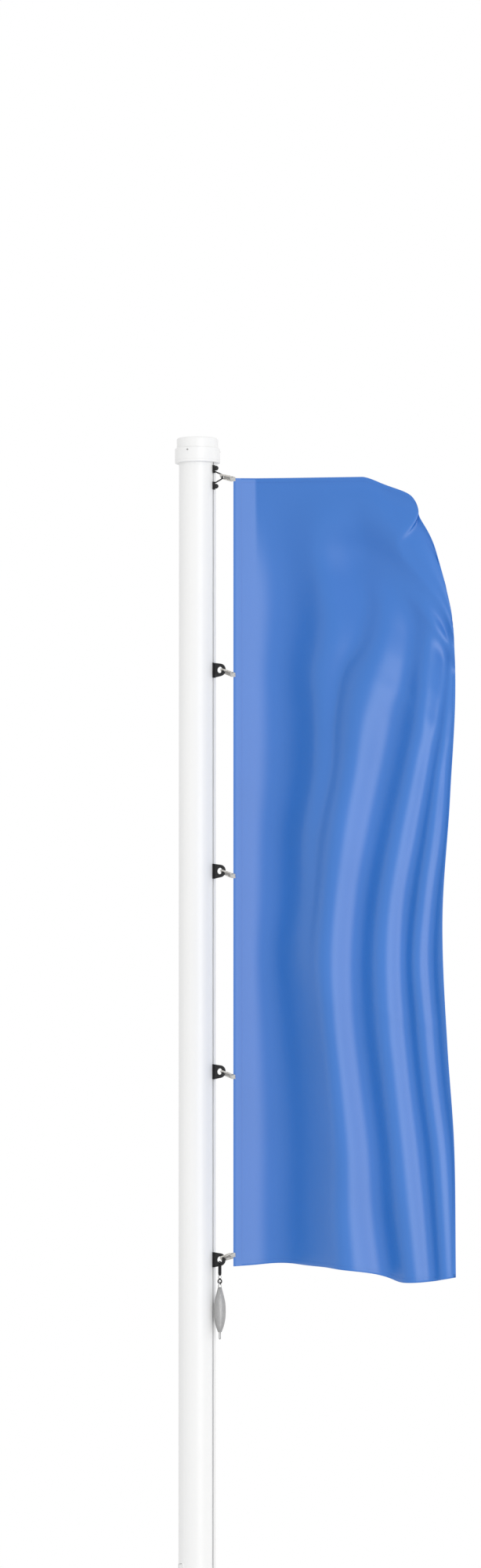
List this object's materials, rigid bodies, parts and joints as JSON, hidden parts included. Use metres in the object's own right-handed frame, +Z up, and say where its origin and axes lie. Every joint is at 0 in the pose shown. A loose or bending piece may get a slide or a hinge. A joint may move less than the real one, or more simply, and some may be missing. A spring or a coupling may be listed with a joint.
{
  "type": "flagpole with portrait flag",
  "caption": "Round white flagpole with a slotted track, a two-step cap, sliders that carry a plain blue portrait flag on clips, a hanging weight and a small hatch.",
  "frame": {"origin": "centre of the pole's foot face, at ground level", "axes": "+Z up the pole, +X out of the track, the way the flag flies"},
  "size_m": [0.8772, 0.1669, 4.384],
  "materials": {
    "pole_white": "white powder coat, satin",
    "cap_white": "white powder coat, satin",
    "plug_grey": "moulded, matt",
    "slider_black": "moulded black, satin",
    "clip_white": "moulded off-white",
    "strap_white": "off-white webbing",
    "flag_blue": "knitted polyester, plain blue",
    "hook_black": "black coated",
    "swivel_metal": "bright",
    "core_iron": "rough, hidden",
    "sleeve_grey": "silver-grey braid"
  },
  "bodies": {
    "pole": {"pole_tube": "pole_white", "foot_plug": "plug_grey", "cap_collar": "cap_white", "cap_lid": "cap_white", "hatch_frame": "pole_white"},
    "door": {"hatch_door": "pole_white"},
    "flag_set": {"hoist_runner": "slider_black", "hoist_bow": "hook_black", "flag": "flag_blue", "slider_1": "slider_black", "slider_2": "slider_black", "slider_3": "slider_black", "slider_4": "slider_black", "clip_1": "clip_white", "strap_1": "strap_white", "clip_2": "clip_white", "strap_2": "strap_white", "clip_3": "clip_white", "strap_3": "strap_white", "clip_4": "clip_white", "strap_4": "strap_white", "clip_5": "clip_white", "strap_5": "strap_white"},
    "weight": {"weight_hook": "hook_black", "weight_swivel": "swivel_metal", "weight_ring": "hook_black", "weight_loop": "sleeve_grey", "weight_ferrule": "swivel_metal", "weight_sleeve": "sleeve_grey", "weight_core": "core_iron", "weight_tail": "sleeve_grey"}
  },
  "joints": [
    {"name": "flag_slide", "type": "slide", "parent": "pole", "child": "flag_set", "axis": [0, 0, -1], "range_m": [0, 1.75]},
    {"name": "weight_swing", "type": "hinge", "parent": "flag_set", "child": "weight", "pos_m": [0.071, 0, 2.16324], "axis": [0, -1, 0], "range_deg": [0, 35]},
    {"name": "hatch_hinge", "type": "hinge", "parent": "pole", "child": "door", "pos_m": [-0.03304, -0.03684, 1.3], "axis": [0, 0, -1], "range_deg": [0, 90]}
  ]
}
